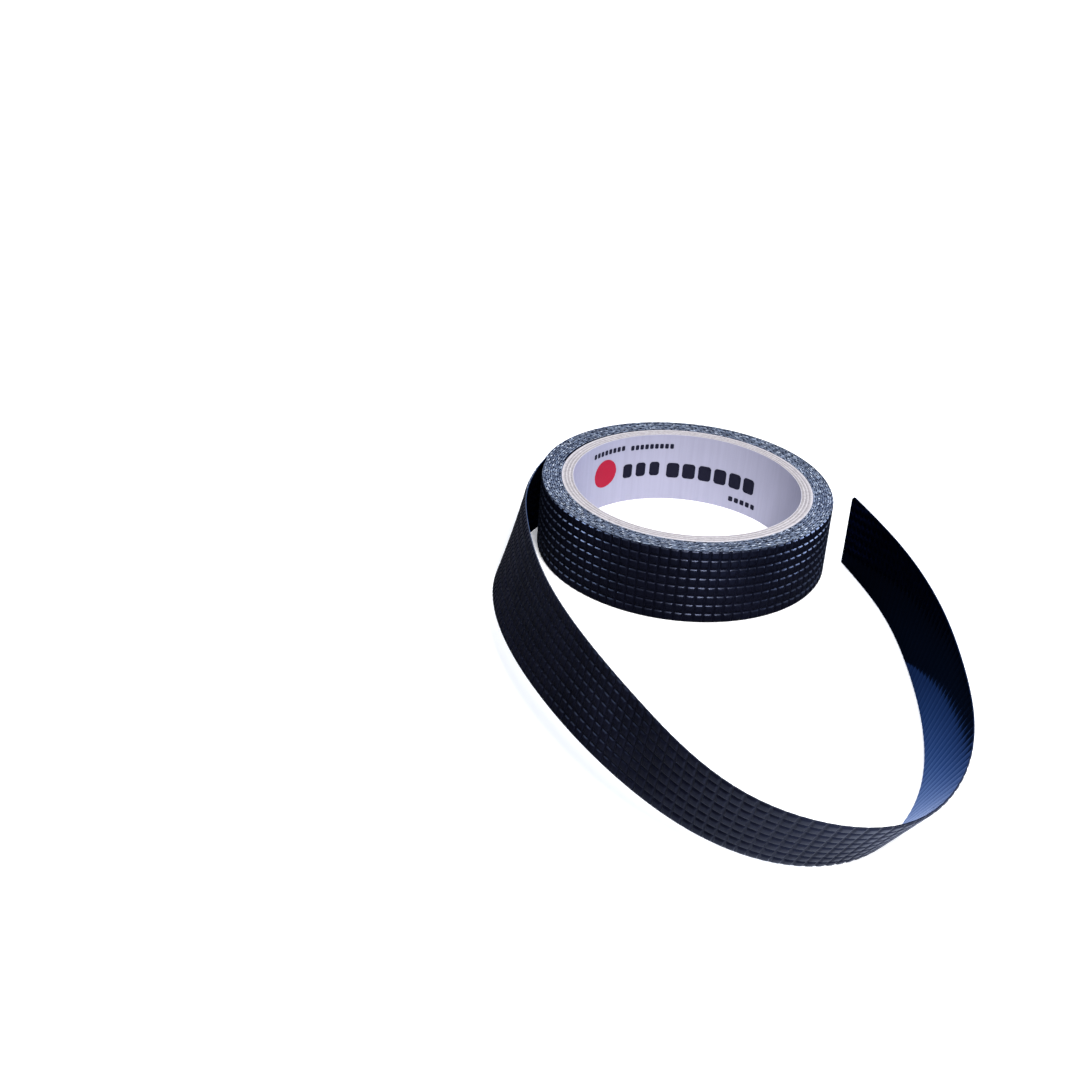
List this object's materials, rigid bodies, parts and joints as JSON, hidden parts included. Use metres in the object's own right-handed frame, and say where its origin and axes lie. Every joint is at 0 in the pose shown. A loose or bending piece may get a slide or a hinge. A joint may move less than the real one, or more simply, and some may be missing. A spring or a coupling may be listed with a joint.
{
  "type": "grip tape roll",
  "caption": "Roll of black embossed grip tape with an adhesive back, wound on a laminated board core, its free tail unwound and standing on its edge.",
  "frame": {"origin": "on the bore's axis, in the plane of the roll's lower end face", "axes": "+Z along the bore axis and up when the roll lies on its side; the tail runs from the roll's left, towards -Y, and back along +X"},
  "size_m": [0.1337, 0.2265, 0.0379],
  "materials": {
    "film": "matt, embossed with small square pads",
    "adhesive": "smooth and glossy, clear over the dark film",
    "board": "matt kraft board",
    "wrap_paper": "smooth matt",
    "printed_paper": "smooth, slight sheen",
    "red_ink": "printed",
    "dark_ink": "printed"
  },
  "bodies": {
    "roll": {"core_liner": "printed_paper", "core_ply_1": "board", "core_ply_2": "board", "core_ply_3": "board", "core_ply_4": "board", "core_ply_5": "board", "core_ply_6": "board", "core_wrap": "wrap_paper", "wound_film": "film", "wound_adhesive": "adhesive"},
    "tail_1": {"tail_film_1": "film", "tail_adhesive_1": "adhesive"},
    "tail_2": {"tail_film_2": "film", "tail_adhesive_2": "adhesive"},
    "tail_3": {"tail_film_3": "film", "tail_adhesive_3": "adhesive"},
    "tail_4": {"tail_film_4": "film", "tail_adhesive_4": "adhesive"},
    "tail_5": {"tail_film_5": "film", "tail_adhesive_5": "adhesive"},
    "tail_6": {"tail_film_6": "film", "tail_adhesive_6": "adhesive"}
  },
  "joints": [
    {"name": "peel", "type": "hinge", "parent": "roll", "child": "tail_1", "pos_m": [-0.0481, 0.012, 0.0129], "axis": [-0.0155, -0.0504, -0.9986], "range_deg": [-1, 30], "stiffness_Nm_per_rad": 0.03},
    {"name": "flex_1", "type": "hinge", "parent": "tail_1", "child": "tail_2", "pos_m": [-0.0565, -0.05192, 0.02008], "axis": [-0.3689, -0.1519, -0.917], "range_deg": [-0.5, 20], "stiffness_Nm_per_rad": 0.03},
    {"name": "flex_2", "type": "hinge", "parent": "tail_2", "child": "tail_3", "pos_m": [-0.03942, -0.11908, 0.02533], "axis": [-0.2175, -0.1011, -0.9708], "range_deg": [-0.5, 14], "stiffness_Nm_per_rad": 0.03},
    {"name": "flex_3", "type": "hinge", "parent": "tail_3", "child": "tail_4", "pos_m": [0.00558, -0.16917, 0.01612], "axis": [-0.0866, 0.3722, -0.9241], "range_deg": [-0.5, 7], "stiffness_Nm_per_rad": 0.03},
    {"name": "flex_4", "type": "hinge", "parent": "tail_4", "child": "tail_5", "pos_m": [0.06075, -0.13967, 0.01183], "axis": [-0.3927, 0.2119, -0.8949], "range_deg": [-0.5, 5], "stiffness_Nm_per_rad": 0.03},
    {"name": "flex_5", "type": "hinge", "parent": "tail_5", "child": "tail_6", "pos_m": [0.06875, -0.07, 0.01308], "axis": [-0.1796, -0.0134, -0.9836], "range_deg": [-0.5, 15], "stiffness_Nm_per_rad": 0.03}
  ]
}
